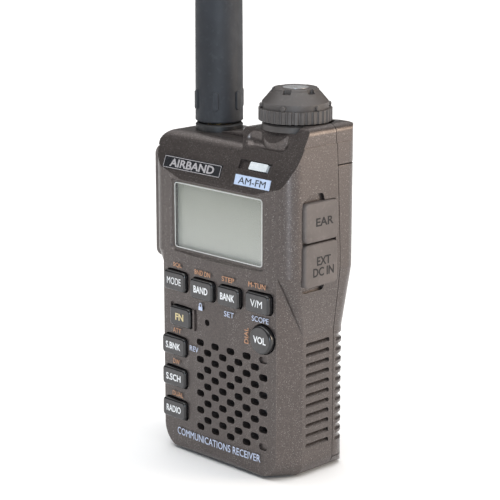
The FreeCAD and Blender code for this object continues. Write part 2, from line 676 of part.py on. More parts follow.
def make_rear_chassis(shell):
    """Inner frame plate with the visible top cap and the bottom rail that carries the latch."""
    behind = shell.common(seam_side(False, dim("seam_gap") / 2))
    cap = behind.common(box((-FAR, FAR), (-FAR, FAR), (dim("cap_low"), FAR + 40)))
    rail = behind.common(box((-FAR, FAR), (-FAR, FAR), (-1, dim("door_low") - dim("seam_gap"))))
    front, back = dim("plate_front"), dim("plate_back")
    high = dim("cap_low") - 0.1
    outline = [(-18.1, 2.0, 0.5), (18.1, 2.0, 0.5), (18.1, 50.0, 0), (20.2, 52.0, 0), (20.2, high, 0.5),
               (-20.2, high, 0.5), (-20.2, 52.0, 0), (-18.1, 50.0, 0)]
    sheet_plate = front_prism(outline, front, back)
    bridge = box((-17.0, 17.0), (front, dim("seam_depth") + 1.0), (2.0, dim("door_low") - dim("seam_gap")))
    shelf = box((-16.9, 16.9), (front, dim("seam_depth")), (high - 1.2, dim("cavity_ceiling") - 0.3))
    shape = sheet_plate.fuse([cap, rail, bridge, shelf])
    travel = dim("latch_travel")
    slot_half = (dim("latch_length") + travel) / 2 + dim("latch_gap")
    tongue_left = -slot_half + 1.2
    cuts = [box((6.9, 17.5), (-5.0, 6.7), (67.0, dim("cavity_ceiling"))),
            box((-16.9, -7.5), (-5.0, 6.0), (66.0, dim("cavity_ceiling"))),
            box((-slot_half, slot_half), (dim("latch_y") - dim("latch_width") / 2 - dim("latch_gap"),
                                          dim("latch_y") + dim("latch_width") / 2 + dim("latch_gap")),
                (-1.0, 1.5)),
            box((tongue_left, tongue_left + 2.4 + travel), (dim("latch_y") - 0.7, dim("latch_y") + 0.7),
                (1.0, 4.0))]
    for x, z in boss_places():
        cuts.append(rod(dim("screw_radius") + 0.15, vec(x, 0, z), vec(0, 1, 0), 5))
    moulding("rear_chassis", shape.cut(cuts))


def make_battery_door(shell):
    """Hollow back cover; the corner notches line up with the louvres on the flanks."""
    low, high = dim("door_low"), dim("door_high")
    shape = shell.common(seam_side(False, dim("seam_gap") / 2))
    shape = shape.common(box((-FAR, FAR), (-FAR, FAR), (low, high)))
    inner = dim("door_inside")
    wall = dim("door_wall")
    lower = dim("lower_half_width") - wall
    upper = dim("upper_half_width") - wall
    spine = dim("spine_half_width")
    middle = front_prism(box_corners(-spine, spine, low + wall, high - wall), 0, inner)
    waist = front_prism(box_corners(-lower, lower, low + wall, high - wall), 0,
                        dim("door_waist_back"))
    head = front_prism(box_corners(-upper, upper, dim("flare_high") + 1, high - wall), 0,
                       dim("door_head_back"))
    throat = box((-upper, upper), (0, dim("throat_back")), (high - dim("throat_height"), high + 1))
    corner = dim("lower_rear_radius")
    notches = []
    for step in range(LOUVRES):
        z = dim("louvre_top") - step * dim("louvre_pitch")
        for side in (-1, 1):
            centre_x = side * (dim("lower_half_width") - corner)
            ring = Part.makeTorus(corner + 0.35, 0.95, vec(centre_x, dim("half_depth") - corner, z))
            limit = box((min(centre_x, side * FAR), max(centre_x, side * FAR)),
                        (dim("half_depth") - corner, FAR), (z - 1, z + 1))
            notches.append(ring.common(limit))
    shape = shape.cut([middle, waist, head, throat] + notches)
    roll = dim("half_depth") - dim("hinge_y")
    shape = soften(shape, roll, lambda edge: edge.BoundBox.ZMin > high - 0.01
                   and edge.BoundBox.YMin > dim("half_depth") - 0.01)
    moulding("battery_door", shape)


def make_battery_latch():
    travel = dim("latch_travel")
    left = -(dim("latch_length") + travel) / 2
    half = dim("latch_width") / 2
    y = dim("latch_y")
    slider = box((left, left + dim("latch_length")), (y - half, y + half), (0.55, 1.3))
    tongue = box((left + 1.3, left + 3.3), (y - 0.5, y + 0.5), (1.2, 2.35))
    ridges = [box((left + 2.6 + step * 1.1, left + 3.1 + step * 1.1), (y - half, y + half), (0.15, 0.6))
              for step in range(5)]
    moulding("battery_latch", slider.fuse([tongue] + ridges))


# ---------------------------------------------------------------- keys and covers

def soften(shape, radius, test):
    edges = [edge for edge in shape.Edges if test(edge)]
    return shape.makeFillet(radius, edges)


def make_front_key(label, opening):
    """Cap with softened edges and an inner lip that keeps the key in its opening."""
    left, right, low, high = opening
    gap = dim("key_gap")
    left, right, low, high = left + gap, right - gap, low + gap, high - gap
    top = face_depth((left + right) / 2) - dim("key_rise")
    base = dim("key_base")
    cap = front_prism(box_corners(left, right, low, high, 0.95), top, base)
    cap = soften(cap, 0.55, lambda edge: edge.BoundBox.YMax < top + 0.01)
    lip = dim("key_lip")
    lip_left = max(left - lip, -dim("cavity_lower") + 0.15)
    flange = box((lip_left, right + lip), (base - dim("key_flange"), base), (low - lip, high + lip))
    moulding(label, cap.fuse(flange))


def make_volume_key():
    radius = dim("volume_radius")
    x, z = dim("volume_x"), dim("volume_z")
    top = face_depth(x) - dim("key_rise")
    base = dim("key_base")
    cap = rod(radius, vec(x, top, z), vec(0, 1, 0), base - top)
    cap = soften(cap, 0.6, lambda edge: edge.BoundBox.YMax < top + 0.01)
    flange = rod(radius + 0.3, vec(x, base - dim("key_flange"), z), vec(0, 1, 0), dim("key_flange"))
    moulding("volume_key", cap.fuse(flange))


def make_jack_cover(label, low, high, jack_z):
    """Rubber flap with rounded edges and a short plug that sits in the jack's opening."""
    floor = dim("cover_floor") + dim("cover_gap")
    flap = side_prism(box_corners(dim("cover_front"), dim("cover_rear"), low, high, 1.2), floor,
                      dim("cover_face"))
    flap = soften(flap, 0.45, lambda edge: edge.BoundBox.XMin > dim("cover_face") - 0.01)
    plug = Part.makeCone(dim("plug_radius"), dim("plug_radius") - 0.25, 0.85,
                         vec(floor + 0.02, dim("jack_y"), jack_z), vec(-1, 0, 0))
    moulding(label, flap.fuse(plug))


def make_side_pad():
    outer = -dim("pad_face")
    inner = -dim("cover_floor") - dim("cover_gap")
    corners = box_corners(dim("pad_front"), dim("pad_rear"), dim("pad_low"), dim("pad_high"), 2.2)
    pad_shape = side_prism(corners, outer, inner)
    pad_shape = soften(pad_shape, 0.7, lambda edge: edge.BoundBox.XMax < outer + 0.01)
    holes = [side_prism(side_key_outline(z, dim("key_gap")), -FAR, 0)
             for z in (dim("power_key_z"), dim("monitor_key_z"))]
    moulding("side_key_pad", pad_shape.cut(holes))


def make_side_key(label, z):
    outer = -dim("pad_face") - dim("side_key_rise")
    inner = -dim("cover_floor") - dim("cover_gap") - dim("key_travel") - 0.05
    cap = side_prism(side_key_outline(z, 0.0), outer, inner)
    cap = soften(cap, 0.35, lambda edge: edge.BoundBox.XMax < outer + 0.01)
    stem = side_prism(side_key_outline(z, -1.25), inner - 0.1, -dim("cavity_upper") - 0.2)
    moulding(label, cap.fuse(stem))


# ---------------------------------------------------------------- dial and antenna

def make_dial_ring():
    """Knurled grip ring: a disc with a bore and a pattern of vertical flutes."""
    body = new_body("dial_ring")
    sketch = new_sketch(body, "XY_Plane")
    draw_circle(sketch, "dims.ring_radius")
    draw_circle(sketch, "dims.ring_inner")
    pad(body, sketch, "dims.ring_high - dims.ring_low")
    flute = new_sketch(body, "XY_Plane")
    draw_circle(flute, "dims.tooth_radius", "dims.ring_radius + 0.08", 0)
    cut = body.newObject("PartDesign::Pocket", "dial_ring_flute")
    cut.Profile = flute
    cut.Type = 1
    cut.Reversed = True
    doc.recompute()
    pattern = body.newObject("PartDesign::PolarPattern", "dial_ring_flutes")
    pattern.Originals = [cut]
    pattern.Axis = (flute, ["N_Axis"])
    pattern.Angle = 360
    pattern.setExpression("Occurrences", "dims.teeth")
    body.Tip = pattern
    place(body, "dims.stem_x", "dims.stem_y", "dims.ring_low")
    doc.recompute()


def make_dial_hub():
    """Core of the knob with a plain band above the grip ring and six small index bumps."""
    centre = vec(dim("stem_x"), dim("stem_y"), 0)
    low, high, top = dim("ring_low") + 0.05, dim("ring_high") + 0.02, dim("dome_low")
    core = rod(dim("ring_inner") - 0.03, centre + vec(0, 0, low), vec(0, 0, 1), top - low)
    band = rod(dim("band_radius"), centre + vec(0, 0, high), vec(0, 0, 1), top - high)
    bumps = []
    for step in range(6):
        angle = math.radians(step * 60 + dim("knob_phase"))
        outward = vec(math.cos(angle), math.sin(angle), 0)
        start = centre + outward * (dim("band_radius") - 0.3) + vec(0, 0, high + 0.6)
        bump = rod(0.58, start, outward, 0.85)
        bumps.append(bump.makeFillet(0.25, [bump.Edges[0]]))
    bore = rod(dim("shaft_radius"), centre + vec(0, 0, low - 1), vec(0, 0, 1), dim("shaft_top") - low + 1)
    moulding("dial_hub", core.fuse([band] + bumps).cut(bore))


def make_dial_cap():
    """Conical cap with six finger notches at the edge of its flat top."""
    centre = vec(dim("stem_x"), dim("stem_y"), 0)
    low, top = dim("dome_low"), dim("dome_top")
    radius, flat = dim("band_radius") - 0.02, dim("dome_top_radius")
    rim_low, rim_middle = vec(flat + 0.45, 0, top - 0.45), vec(flat + 0.3, 0, top - 0.13)
    rim = Part.Arc(rim_low, rim_middle, vec(flat, 0, top)).toShape()
    corners = [vec(flat, 0, top), vec(0, 0, top), vec(0, 0, low), vec(radius, 0, low),
               vec(radius, 0, low + 0.2), rim_low]
    outline = [Part.LineSegment(a, b).toShape() for a, b in zip(corners, corners[1:])] + [rim]
    dome = Part.Face(Part.Wire(outline)).revolve(vec(0, 0, 0), vec(0, 0, 1), 360)
    notches = []
    for step in range(6):
        notch = box((flat - 0.3, 7.5), (-0.95, 0.95), (top - 1.05, top + 1))
        notch = soften(notch, 0.35, lambda edge: abs(edge.tangentAt(0).z) > 0.99)
        notch.rotate(vec(0, 0, 0), vec(0, 0, 1), step * 60 + dim("knob_phase"))
        notches.append(notch)
    badge = rod(dim("badge_radius") + 0.05, vec(0, 0, top - dim("badge_thick") + 0.05), vec(0, 0, 1), 1)
    dome = dome.cut(notches + [badge])
    dome.translate(centre)
    moulding("dial_cap", dome)


def make_dial():
    make_dial_ring()
    make_dial_hub()
    make_dial_cap()
    turned("dial_badge", [(0, 0), ("dims.badge_radius", 0), ("dims.badge_radius", "dims.badge_thick"),
                          (0, "dims.badge_thick")],
           "dims.stem_x", "dims.stem_y", "dims.dome_top - dims.badge_thick + 0.06")
    turned("dial_shaft", [(0, 0), ("dims.shaft_radius", 0),
                          ("dims.shaft_radius", "dims.shaft_top - dims.shaft_low"),
                          (0, "dims.shaft_top - dims.shaft_low")],
           "dims.stem_x", "dims.stem_y", "dims.shaft_low")
    turned("dial_collar", [(5.1, 0), ("dims.collar_radius", 0),
                           ("dims.collar_radius", "dims.collar_top - dims.pedestal_top - 0.3"),
                           ("dims.collar_radius - 0.3", "dims.collar_top - dims.pedestal_top"),
                           (5.1, "dims.collar_top - dims.pedestal_top")],
           "dims.stem_x", "dims.stem_y", "dims.pedestal_top")
    hole = dim("shaft_radius") + dim("running_gap")
    centre = vec(dim("stem_x"), dim("stem_y"), 0)
    low = dim("shaft_low") - 0.9
    can = box((-4.5, 4.5), (-4.2, 4.2), (low, dim("cavity_ceiling") - 0.2))
    can.translate(centre)
    bushing = rod(dim("bushing_radius"), centre + vec(0, 0, dim("cavity_ceiling") - 1), vec(0, 0, 1),
                  dim("bushing_top") - dim("cavity_ceiling") + 1)
    bore = rod(hole, centre + vec(0, 0, dim("shaft_low") - 0.1), vec(0, 0, 1), 20)
    moulding("dial_encoder", can.fuse(bushing).cut(bore))
    nut_low = dim("pedestal_top")
    hexagon = [vec(4.6 * math.cos(math.radians(60 * k)), 4.6 * math.sin(math.radians(60 * k)), nut_low)
               for k in range(6)]
    nut = Part.Face(Part.makePolygon(hexagon + hexagon[:1])).extrude(vec(0, 0, 1.2))
    nut.translate(centre)
    nut = nut.cut(rod(dim("bushing_radius"), centre + vec(0, 0, nut_low - 1), vec(0, 0, 1), 4))
    moulding("encoder_nut", nut)


def make_antenna():
    place_at = ("-dims.stem_x", "dims.stem_y")
    foot, top = dim("antenna_foot"), dim("antenna_top")
    centre = vec(-dim("stem_x"), dim("stem_y"), 0)
    radius, whip = dim("antenna_radius"), dim("whip_radius")
    shoulder, start = dim("grip_top"), dim("whip_start")
    bore = dim("coupling_radius")
    core_top = foot + 9.0

    def line(a, b):
        return Part.LineSegment(vec(a[0], 0, a[1]), vec(b[0], 0, b[1])).toShape()

    points = [(bore, foot), (radius - 0.3, foot), (radius, foot + 0.3), (radius - 0.15, shoulder),
              (whip, start), (whip - 0.6, top), (0, top), (0, top - 4.0), (1.2, top - 4.0), (1.2, core_top),
              (bore, core_top)]
    outline = [line(a, b) for a, b in zip(points, points[1:] + points[:1])]
    sleeve = Part.Face(Part.Wire(outline)).revolve(vec(0, 0, 0), vec(0, 0, 1), 360)
    sleeve = soften(sleeve, 2.0, lambda edge: edge.BoundBox.ZMin > top - 0.01 and edge.Length > 5)
    bars = []
    for step in range(int(dim("bar_count"))):
        bar = box((radius - 0.6, radius + 0.32), (-0.75, 0.75), (foot + 2.9, foot + 7.3))
        bar = soften(bar, 0.6, lambda edge: abs(edge.tangentAt(0).x) > 0.99)
        bar = soften(bar, 0.2, lambda edge: edge.BoundBox.XMin > radius + 0.31)
        bar.rotate(vec(0, 0, 0), vec(0, 0, 1), step * 60 + 7)
        bars.append(bar)
    sleeve = sleeve.fuse(bars)
    sleeve.translate(centre)
    moulding("antenna_sleeve", sleeve)

    thread = dim("thread_radius") + dim("running_gap")
    turned("antenna_coupling", [(thread, 0.1), ("dims.coupling_radius - 0.02", 0.1),
                                ("dims.coupling_radius - 0.02", 8.9), (1.3, 8.9), (1.3, 7.4), (thread, 6.4)],
           place_at[0], place_at[1], "dims.antenna_foot")
    turned("antenna_core", [(0, 0), (0.45, 0), (0.45, 5.1), (1.1, 6.0), (1.1, "dims.antenna_top - 89.0"),
                            (0, "dims.antenna_top - 89.0")],
           place_at[0], place_at[1], "dims.antenna_foot + 2.5")
    turned("antenna_flange", [("dims.thread_radius + 0.05", 0), ("dims.flange_radius", 0),
                              ("dims.flange_radius", "dims.flange_height - 0.4"),
                              ("dims.flange_radius - 0.4", "dims.flange_height"),
                              ("dims.thread_radius + 0.05", "dims.flange_height")],
           place_at[0], place_at[1], "dims.shelf_top")
    block = box((-3.6, 3.6), (-3.4, 3.4), (67.4, dim("cavity_ceiling") - 0.1))
    block.translate(centre)
    barrel = rod(dim("thread_radius"), centre + vec(0, 0, 72), vec(0, 0, 1), 10.6)
    socket = rod(0.75, centre + vec(0, 0, 77), vec(0, 0, 1), 8)
    moulding("antenna_jack", block.fuse(barrel).cut(socket))


# ---------------------------------------------------------------- display, labels, boards

def make_display():
    plate("lcd_window", rectangle("dims.window_x", "dims.window_z", "dims.window_width",
                                  "dims.window_height"), "dims.window_thick", "dims.window_back", 0.8)
    plate("lcd_panel", rectangle("dims.window_x", "dims.window_z", "dims.panel_width",
                                 "dims.panel_height"), 0.85, "dims.panel_back")
    plate("lcd_backlight", rectangle("dims.window_x", "dims.window_z", "dims.panel_width - 1",
                                     "dims.panel_height - 1"), 0.65, "dims.panel_back + 0.7")
    frame = new_body("lcd_frame")
    sketch = new_sketch(frame, "XZ_Plane")
    draw_polygon(sketch, rectangle("dims.window_x", "dims.window_z", "dims.panel_width + 2.2",
                                   "dims.panel_height + 1.2"))
    draw_polygon(sketch, rectangle("dims.window_x", "dims.window_z", "dims.panel_width + 0.2",
                                   "dims.panel_height + 0.2"))
    pad(frame, sketch, 1.6)
    place(frame, y="dims.panel_back + 0.75")
    plate("lcd_connector", [(-14, 45.2), (13, 45.2), (13, 46.3), (-14, 46.3)], 1.6, "dims.panel_back + 0.75")
    moulding("name_plate", leaning_box(dim("plate_x"), dim("plate_z"), dim("plate_width"),
                                       dim("plate_height"), dim("plate_lean"), 0.4, 0.08))
    moulding("range_label", leaning_box(dim("label_x"), dim("label_z"), dim("label_width"),
                                        dim("label_height"), dim("label_lean"), 0.16, 0.1))
    lens = leaning_box(dim("lamp_x"), dim("lamp_z"), dim("lamp_width"), dim("lamp_height"),
                       dim("lamp_lean"), 2.2, 0.0)
    lens = soften(lens, 0.25, lambda edge: abs(edge.tangentAt(0).x) < 0.01 and edge.Length > 2.1)
    moulding("lamp_lens", lens)
    plate("lamp_led", [(9.9, 69.2), (12.3, 69.2), (12.3, 71.2), (9.9, 71.2)], 1.0, -5.3)


def make_boards():
    plate("main_board", [(-18, 6.6), (-7.6, 6.6), (-7.6, 29.6), (18, 29.6), (18, 66), (-18, 66)],
          "dims.board_thick", "dims.board_back")
    plate("keypad_mat", [(-18.1, 6.6), (-8.0, 6.6), (-8.0, 29.2), (18.1, 29.2), (18.1, 44.9), (-18.1, 44.9)],
          "dims.mat_thick", "dims.mat_back")
    plate("radio_board", [(-18, 31), (12.2, 31), (12.2, 65), (-18, 65)], "dims.board_thick",
          "dims.radio_board_back", 1.0)
    back = dim("radio_board_back") - dim("board_thick")
    can = box((-15.8, 10.4), (back - 3.4, back - 0.03), (34.0, 61.0))
    can = can.cut(box((-15.5, 10.1), (back - 3.1, back + 1), (34.3, 60.7)))
    moulding("shield_can", can)
    plate("board_connector", [(-17.8, 40), (-16.4, 40), (-16.4, 56), (-17.8, 56)], 4.85,
          "dims.radio_board_back - 0.95")
    chips = [box((x - size / 2, x + size / 2), (dim("board_back") + 0.02, dim("board_back") + 0.85),
                 (z - size / 2, z + size / 2)) for x, z, size in ((-8, 52, 9), (5, 55, 7), (4, 40, 6))]
    moulding("logic_chips", Part.makeCompound(chips))
    domes = []
    for left, right, low, high in KEY_OPENINGS.values():
        domes.append(rod(1.6, vec((left + right) / 2, -7.7, (low + high) / 2), vec(0, 1, 0), 0.18))
    domes.append(rod(1.6, vec(dim("volume_x"), -7.7, dim("volume_z")), vec(0, 1, 0), 0.18))
    moulding("key_domes", Part.makeCompound(domes))
    switches = box((-20.1, -19.4), (-6.2, 1.6), (50.2, 68.4))
    for z in (dim("power_key_z") - 0.6, dim("monitor_key_z") + 0.2):
        switches = switches.fuse(box((-20.3, -20.0), (-3.4, 0.0), (z - 1.5, z + 1.5)))
    moulding("side_switches", switches)


def make_speaker():
    at = ("dims.speaker_x", "dims.speaker_z")
    radius = "dims.speaker_radius"
    turned("speaker_felt", [(0, 0), (radius, 0), (radius, 0.2), (0, 0.2)], at[0], -9.02, at[1], "front")
    turned("speaker_frame", [("dims.magnet_radius + 0.2", 0), (9.0, 0.6), (radius, 2.6), (radius, 3.4),
                             (9.4, 3.4), (9.4, 2.8), ("dims.magnet_radius + 0.2", 0.6)],
           at[0], -5.55, at[1], "front")
    turned("speaker_cone", [(0, 0.2), (3.4, 0.2), (9.2, 2.0), (9.2, 2.2), (3.3, 0.45), (0, 0.45)],
           at[0], -6.3, at[1], "front")
    turned("speaker_magnet", [(0, 0), ("dims.magnet_radius", 0), ("dims.magnet_radius", 2.3), (0, 2.3)],
           at[0], -3.3, at[1], "front")


def make_jack(label, z, bore, pin):
    """Side jack: a square body with a round bore that opens to the right."""
    half = dim("jack_width") / 2
    inner, outer, y = dim("jack_inner"), dim("jack_outer"), dim("jack_y")
    body = box((inner, outer), (y - half, y + half), (z - half, z + half))
    depth = outer - inner - 1.0
    body = body.cut(rod(bore, vec(outer - depth, y, z), vec(1, 0, 0), depth + 1))
    if pin:
        body = body.fuse(rod(pin, vec(outer - depth - 0.1, y, z), vec(1, 0, 0), depth - 1.0))
    moulding(label, body)


def make_fixings():
    screws = []
    for x, z in boss_places():
        head = rod(dim("screw_head"), vec(x, dim("plate_back") + 0.02, z), vec(0, 1, 0), 0.9)
        shank = rod(dim("screw_radius"), vec(x, dim("boss_end") - 5.0, z), vec(0, 1, 0),
                    dim("plate_back") - dim("boss_end") + 5.1)
        drive_depth = (dim("plate_back") + 0.5, dim("plate_back") + 1.2)
        slot = box((x - 0.9, x + 0.9), drive_depth, (z - 0.2, z + 0.2))
        cross = box((x - 0.2, x + 0.2), drive_depth, (z - 0.9, z + 0.9))
        screws.append(head.fuse(shank).cut([slot, cross]))
    moulding("case_screws", Part.makeCompound(screws))


def make_battery():
    body = new_body("battery_pack")
    sketch = new_sketch(body, "XY_Plane")
    draw_polygon(sketch, rectangle("0", "0", "dims.battery_width", "dims.battery_thick"))
    feature = pad(body, sketch, "dims.battery_height")
    round_edges(body, feature, 1.2, vec(0, 0, 1))
    place(body, 0, "dims.battery_y", "dims.battery_low")
    top = dim("battery_low") + dim("battery_height")
    block = box((-8.0, 8.0), (dim("plate_back") + 0.03, 9.0), (top + 1.3, top + 4.0))
    blades = [box((x - 0.9, x + 0.9), (5.6, 7.2), (top + 0.1, top + 1.4)) for x in (-5.0, 0.0, 5.0)]
    moulding("battery_contacts", block.fuse(blades))


def build():
    shell = outer_case()
    shell = shell.cut(top_cuts())
    make_front_case(shell)
    make_rear_chassis(shell)
    make_battery_door(shell)
    make_battery_latch()
    make_fixings()
    for label, opening in KEY_OPENINGS.items():
        make_front_key(label, opening)
    make_volume_key()
    split, gap = dim("cover_split"), 0.2
    make_jack_cover("ear_cover", split + gap, dim("ear_top"), dim("ear_jack_z"))
    make_jack_cover("supply_cover", dim("supply_low"), split - gap, dim("supply_jack_z"))
    make_side_pad()
    make_side_key("power_key", dim("power_key_z"))
    make_side_key("monitor_key", dim("monitor_key_z"))
    make_dial()
    make_antenna()
    make_display()
    make_boards()
    make_speaker()
    make_jack("ear_jack", dim("ear_jack_z"), dim("ear_bore"), None)
    make_jack("supply_jack", dim("supply_jack_z"), dim("supply_bore"), dim("supply_pin"))
    make_battery()


def check_and_write():
    doc.recompute()
    for item in doc.Objects:
        if "Invalid" in item.State or "Error" in item.State:
            raise RuntimeError("%s did not compute: %s" % (item.Label, item.State))
    os.makedirs("parts", exist_ok=True)
    for node in NODES:
        shape = node.Shape
        if shape.isNull() or not shape.isValid() or not shape.Solids:
            raise RuntimeError("%s has no valid solid" % node.Label)
        shape.exportStep("parts/%s.step" % node.Label)
        print("%-18s %2d solid(s) %9.1f mm3" % (node.Label, len(shape.Solids), shape.Volume))
    print(len(NODES), "nodes")


build()
check_and_write()
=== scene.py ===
import json
import math

import bmesh
import bpy
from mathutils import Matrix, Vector


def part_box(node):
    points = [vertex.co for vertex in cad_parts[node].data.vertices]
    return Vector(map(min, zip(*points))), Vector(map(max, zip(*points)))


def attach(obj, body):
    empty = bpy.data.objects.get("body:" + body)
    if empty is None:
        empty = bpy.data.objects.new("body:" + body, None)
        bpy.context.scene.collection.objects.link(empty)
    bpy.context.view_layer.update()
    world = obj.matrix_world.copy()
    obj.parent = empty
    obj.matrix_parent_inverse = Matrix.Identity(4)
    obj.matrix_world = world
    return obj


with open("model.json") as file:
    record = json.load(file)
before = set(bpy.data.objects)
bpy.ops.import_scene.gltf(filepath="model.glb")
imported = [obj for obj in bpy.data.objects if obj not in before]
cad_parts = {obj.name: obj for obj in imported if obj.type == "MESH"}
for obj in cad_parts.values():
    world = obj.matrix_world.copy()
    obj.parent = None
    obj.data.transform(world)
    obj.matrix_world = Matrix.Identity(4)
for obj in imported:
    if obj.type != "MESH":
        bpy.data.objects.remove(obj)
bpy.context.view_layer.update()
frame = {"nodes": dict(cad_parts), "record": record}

# Looks for a handheld radio receiver: materials, printed legends, light and camera.
# Metres, +Z up, the keys and display face -Y, and the origin is the middle of the base.

MM = 0.001

# ---------------------------------------------------------------- surfaces the print follows

FACE_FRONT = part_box("front_case")[0].y
FACE_RADIUS = 200 * MM          # the front is bowed slightly from side to side
PRINT_LIFT = 0.02 * MM
PRINT_THICKNESS = 0.03 * MM

COAT_ROUGHNESS = 0.12
BEVEL_SAMPLES = 4
LEGEND_HEIGHT = 1.65            # of the words on the keys, in millimetres
# Letter weights. A key's word with an M stays at 0, because any weight breaks that letter.
BOLD = 0.02
BOLDER = 0.025
SYMBOL_STEPS = 24
CAMERA_PLACE = Vector((278.1, -277.0, 146.5)) * MM
CAMERA_AIM = Vector((0.0, -0.5, 49.4)) * MM
CAMERA_LENS = 126.1
CAMERA_SENSOR = 36
WALL_TOP, CEILING_START = 0.55, 0.85    # heights on the surrounding sphere, whose top is 1
WALL_STRENGTH, CEILING_STRENGTH = 0.16, 2.5


def face_y(x):
    """Y of the bowed front face at one x."""
    return FACE_FRONT + FACE_RADIUS - math.sqrt(FACE_RADIUS ** 2 - x ** 2)


# ---------------------------------------------------------------- materials

class Recipe:
    """A node material. Its textures use the object's own coordinates, in metres."""

    def __init__(self, name, metallic=0.0, specular=0.5, coat=0.0, alpha=1.0):
        self.material = bpy.data.materials.new(name)
        self.material.use_nodes = True
        self.tree = self.material.node_tree
        self.shader = self.tree.nodes["Principled BSDF"]
        self.shader.inputs["Metallic"].default_value = metallic
        self.shader.inputs["Specular IOR Level"].default_value = specular
        self.shader.inputs["Coat Weight"].default_value = coat
        self.shader.inputs["Coat Roughness"].default_value = COAT_ROUGHNESS
        self.shader.inputs["Alpha"].default_value = alpha
        self.place = self.node("ShaderNodeTexCoord")

    def node(self, kind, **values):
        made = self.tree.nodes.new(kind)
        for key, value in values.items():
            setattr(made, key, value)
        return made

    def feed(self, socket, value):
        """Links an output, or sets a plain number or colour."""
        if isinstance(value, bpy.types.NodeSocket):
            self.tree.links.new(value, socket)
        elif isinstance(value, tuple) and len(value) == 3 and len(socket.default_value) == 4:
            socket.default_value = (*value, 1.0)
        else:
            socket.default_value = value

    def spot(self, stretch=(1, 1, 1)):
        """The coordinates, squeezed along some axes to draw a pattern out along them."""
        if stretch == (1, 1, 1):
            return self.place.outputs["Object"]
        mapping = self.node("ShaderNodeMapping")
        mapping.inputs["Scale"].default_value = stretch
        self.feed(mapping.inputs["Vector"], self.place.outputs["Object"])
        return mapping.outputs["Vector"]

    def noise(self, size, detail=3.0, stretch=(1, 1, 1)):
        """Cloudy noise whose blobs are about size metres across."""
        texture = self.node("ShaderNodeTexNoise")
        texture.inputs["Scale"].default_value = 1 / size
        texture.inputs["Detail"].default_value = detail
        self.feed(texture.inputs["Vector"], self.spot(stretch))
        return texture.outputs["Fac"]

    def ramp(self, value, low, high, out_low=0.0, out_high=1.0):
        """Maps low..high to out_low..out_high, and holds the ends."""
        mapped = self.node("ShaderNodeMapRange")
        self.feed(mapped.inputs["Value"], value)
        limits = {"From Min": low, "From Max": high, "To Min": out_low, "To Max": out_high}
        for socket, number in limits.items():
            mapped.inputs[socket].default_value = number
        return mapped.outputs["Result"]

    def combine(self, operation, first, second):
        """Adds or multiplies two values."""
        made = self.node("ShaderNodeMath", operation=operation)
        self.feed(made.inputs[0], first)
        self.feed(made.inputs[1], second)
        return made.outputs[0]

    def mix(self, amount, first, second):
        made = self.node("ShaderNodeMix", data_type="RGBA")
        self.feed(made.inputs[0], amount)
        self.feed(made.inputs[6], first)
        self.feed(made.inputs[7], second)
        return made.outputs[2]

    def mottled(self, colour, spread, size, stretch=(1, 1, 1)):
        """The colour, drifting lighter and darker in soft patches."""
        dark = tuple(c * (1 - spread) for c in colour)
        light = tuple(min(1.0, c * (1 + spread)) for c in colour)
        patches = self.ramp(self.noise(size, 4.0, stretch), 0.3, 0.7)
        return self.mix(patches, dark, light)

    def edges(self, radius, strength):
        """1 on sharp rims and 0 on flats, broken up so that the wear looks patchy."""
        bevel = self.node("ShaderNodeBevel", samples=BEVEL_SAMPLES)
        bevel.inputs["Radius"].default_value = radius
        flat = self.node("ShaderNodeNewGeometry")
        dot = self.node("ShaderNodeVectorMath", operation="DOT_PRODUCT")
        self.feed(dot.inputs[0], bevel.outputs["Normal"])
        self.feed(dot.inputs[1], flat.outputs["Normal"])
        rim = self.ramp(dot.outputs["Value"], 0.99, 0.88, 0.0, strength)
        return self.combine("MULTIPLY", rim, self.ramp(self.noise(1.5 * MM), 0.35, 0.65, 0.25, 1.0))

    def flecks(self, size, share):
        """1 in the middle of a few random cells: metal flakes in a paint."""
        cells = self.node("ShaderNodeTexVoronoi")
        cells.inputs["Scale"].default_value = 1 / size
        self.feed(cells.inputs["Vector"], self.place.outputs["Object"])
        chosen = self.ramp(cells.outputs["Color"], 1 - share, 1 - share + 0.02)
        return self.combine("MULTIPLY", chosen, self.ramp(cells.outputs["Distance"], 0.55, 0.3))

    def finish(self, colour, roughness, heights):
        """Joins colour, roughness and stacked bumps, each (height, depth in metres), to the shader."""
        self.feed(self.shader.inputs["Base Color"], colour)
        self.feed(self.shader.inputs["Roughness"], roughness)
        normal = None
        for height, depth in heights:
            bump = self.node("ShaderNodeBump")
            bump.inputs["Distance"].default_value = depth
            self.feed(bump.inputs["Height"], height)
            if normal:
                self.feed(bump.inputs["Normal"], normal)
            normal = bump.outputs["Normal"]
        self.feed(self.shader.inputs["Normal"], normal)
        return self.material


def painted_case():
    """Dark grey-brown paint with metal flakes over a fine orange-peel surface."""
    paint = Recipe("case_paint_finish", metallic=0.70, specular=0.5, coat=0.22)
    colour = paint.mottled((0.112, 0.094, 0.088), 0.08, 14 * MM)
    pores = paint.ramp(paint.noise(0.3 * MM, 2.0), 0.35, 0.7, 0.0, 0.6)
    colour = paint.mix(pores, colour, (0.045, 0.040, 0.040))
    flakes = paint.combine("MULTIPLY", paint.flecks(0.17 * MM, 0.22), 0.30)
    colour = paint.mix(flakes, colour, (0.70, 0.67, 0.64))
    colour = paint.mix(paint.edges(0.3 * MM, 0.3), colour, (0.30, 0.275, 0.26))
    roughness = paint.ramp(paint.noise(0.8 * MM, 3.0), 0.3, 0.7, 0.28, 0.40)
    return paint.finish(colour, roughness, [(paint.noise(0.28 * MM, 2.0), 0.012 * MM),
                                            (paint.noise(6 * MM, 2.0), 0.03 * MM)])


